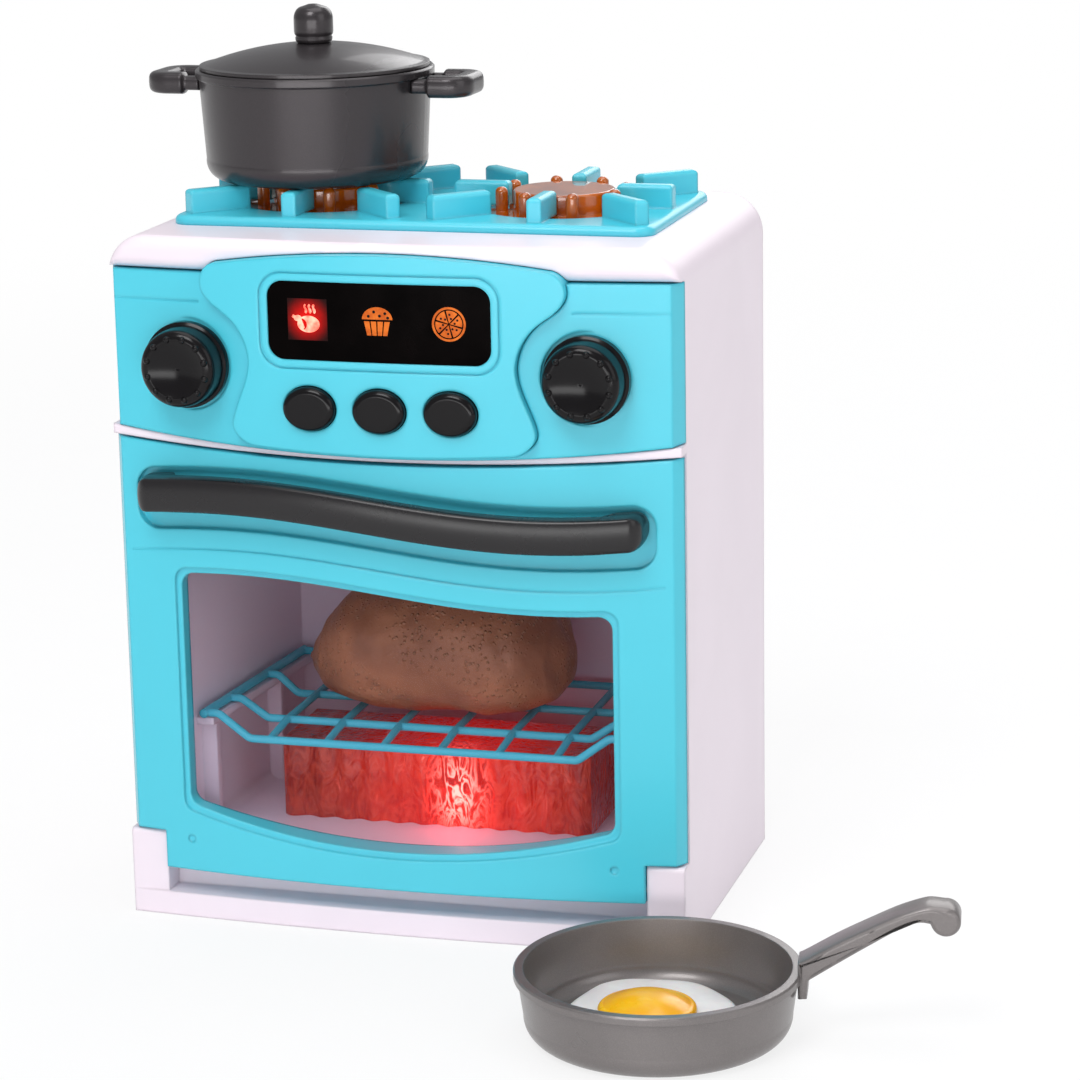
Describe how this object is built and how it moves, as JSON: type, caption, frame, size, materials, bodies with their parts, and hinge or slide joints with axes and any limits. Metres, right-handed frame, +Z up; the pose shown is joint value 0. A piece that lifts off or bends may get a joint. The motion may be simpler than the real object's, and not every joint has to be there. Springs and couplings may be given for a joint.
{
  "type": "toy oven",
  "caption": "Toy cooker with a drop-down windowed door, rack, lit display, push buttons, knobs, hob with glowing burners, pot with lid and frying pan.",
  "frame": {"origin": "centre of the casing's footprint on the floor", "axes": "+Z up, -Y is the front with the door, +X is the front view's right"},
  "size_m": [0.3289, 0.2588, 0.3317],
  "materials": {
    "white_plastic": "glossy moulded",
    "cyan_plastic": "glossy moulded",
    "dark_plastic": "high gloss",
    "display_plastic": "smoked, high gloss",
    "amber_plastic": "translucent",
    "red_plastic": "translucent, rippled",
    "clear_plastic": "clear",
    "pot_plastic": "dark pearl grey",
    "pan_plastic": "pearl grey",
    "roast_vinyl": "pimpled skin",
    "egg_white_vinyl": "satin",
    "egg_yolk_vinyl": "satin",
    "screw_steel": "zinc plated",
    "board_laminate": "lacquered board",
    "lamp_epoxy": "clear epoxy",
    "light_box_plastic": "white",
    "pad_rubber": "silicone",
    "cell_jacket": "printed jacket",
    "speaker_black": "paper cone and frame"
  },
  "bodies": {
    "oven": {"casing": "white_plastic", "rear_cover": "white_plastic", "rear_cover_screws": "screw_steel", "battery_box": "white_plastic", "batteries": "cell_jacket", "battery_contacts": "screw_steel", "battery_door": "white_plastic", "battery_door_screw": "screw_steel", "speaker": "speaker_black", "power_switch": "dark_plastic", "control_panel": "cyan_plastic", "display_console": "cyan_plastic", "display_lens": "display_plastic", "icon_light_box": "light_box_plastic", "main_circuit_board": "board_laminate", "icon_lamps": "lamp_epoxy", "button_pads": "pad_rubber", "click_springs": "screw_steel", "oven_liner": "white_plastic", "glow_cover": "red_plastic", "glow_lamp": "lamp_epoxy", "hob_plate": "cyan_plastic", "left_burner": "amber_plastic", "right_burner": "amber_plastic", "left_burner_lamp": "lamp_epoxy", "right_burner_lamp": "lamp_epoxy"},
    "door": {"door_shell": "cyan_plastic", "door_inner_frame": "cyan_plastic", "window_pane": "clear_plastic", "door_handle": "dark_plastic", "door_handle_screws": "screw_steel", "door_frame_screws": "screw_steel", "hinge_pins": "screw_steel"},
    "left_dial": {"left_knob": "dark_plastic", "left_click_wheel": "light_box_plastic"},
    "right_dial": {"right_knob": "dark_plastic", "right_click_wheel": "light_box_plastic"},
    "left_key": {"left_button": "dark_plastic"},
    "middle_key": {"middle_button": "dark_plastic"},
    "right_key": {"right_button": "dark_plastic"},
    "switch_tab": {"power_switch_slider": "dark_plastic"},
    "rack": {"oven_rack": "cyan_plastic"},
    "roast_piece": {"roast": "roast_vinyl"},
    "pot_set": {"pot": "pot_plastic", "pot_left_handle": "pot_plastic", "pot_right_handle": "pot_plastic"},
    "lid": {"pot_lid": "pot_plastic", "lid_knob": "pot_plastic"},
    "pan": {"frying_pan": "pan_plastic", "pan_handle": "pan_plastic"},
    "egg": {"egg_white": "egg_white_vinyl", "egg_yolk": "egg_yolk_vinyl"}
  },
  "joints": [
    {"name": "door_hinge", "type": "hinge", "parent": "oven", "child": "door", "pos_m": [0, -0.0655, 0.023], "axis": [1, 0, 0], "range_deg": [0, 75]},
    {"name": "left_knob_turn", "type": "hinge", "parent": "oven", "child": "left_dial", "pos_m": [-0.074, -0.07, 0.2108], "axis": [0, -1, 0], "continuous": true},
    {"name": "right_knob_turn", "type": "hinge", "parent": "oven", "child": "right_dial", "pos_m": [0.074, -0.07, 0.2108], "axis": [0, -1, 0], "continuous": true},
    {"name": "left_button_press", "type": "slide", "parent": "oven", "child": "left_key", "axis": [0, 1, 0], "range_m": [0, 0.002], "stiffness_N_per_m": 300, "springref_m": -0.001},
    {"name": "middle_button_press", "type": "slide", "parent": "oven", "child": "middle_key", "axis": [0, 1, 0], "range_m": [0, 0.002], "stiffness_N_per_m": 300, "springref_m": -0.001},
    {"name": "right_button_press", "type": "slide", "parent": "oven", "child": "right_key", "axis": [0, 1, 0], "range_m": [0, 0.002], "stiffness_N_per_m": 300, "springref_m": -0.001},
    {"name": "power_switch_slide", "type": "slide", "parent": "oven", "child": "switch_tab", "axis": [1, 0, 0], "range_m": [0, 0.004]},
    {"name": "rack_slide", "type": "slide", "parent": "oven", "child": "rack", "axis": [0, -1, 0], "range_m": [0, 0.004]},
    {"name": "roast_lift", "type": "slide", "parent": "rack", "child": "roast_piece", "axis": [0, 0, 1], "range_m": [0, 0.03]},
    {"name": "pot_lift", "type": "slide", "parent": "oven", "child": "pot_set", "axis": [0, 0, 1], "range_m": [0, 0.08]},
    {"name": "lid_lift", "type": "slide", "parent": "pot_set", "child": "lid", "axis": [0, 0, 1], "range_m": [0, 0.05]},
    {"name": "pan_slide", "type": "slide", "parent": "oven", "child": "pan", "axis": [1, 0, 0], "range_m": [0, 0.1]},
    {"name": "egg_lift", "type": "slide", "parent": "pan", "child": "egg", "axis": [0, 0, 1], "range_m": [0, 0.015]}
  ]
}
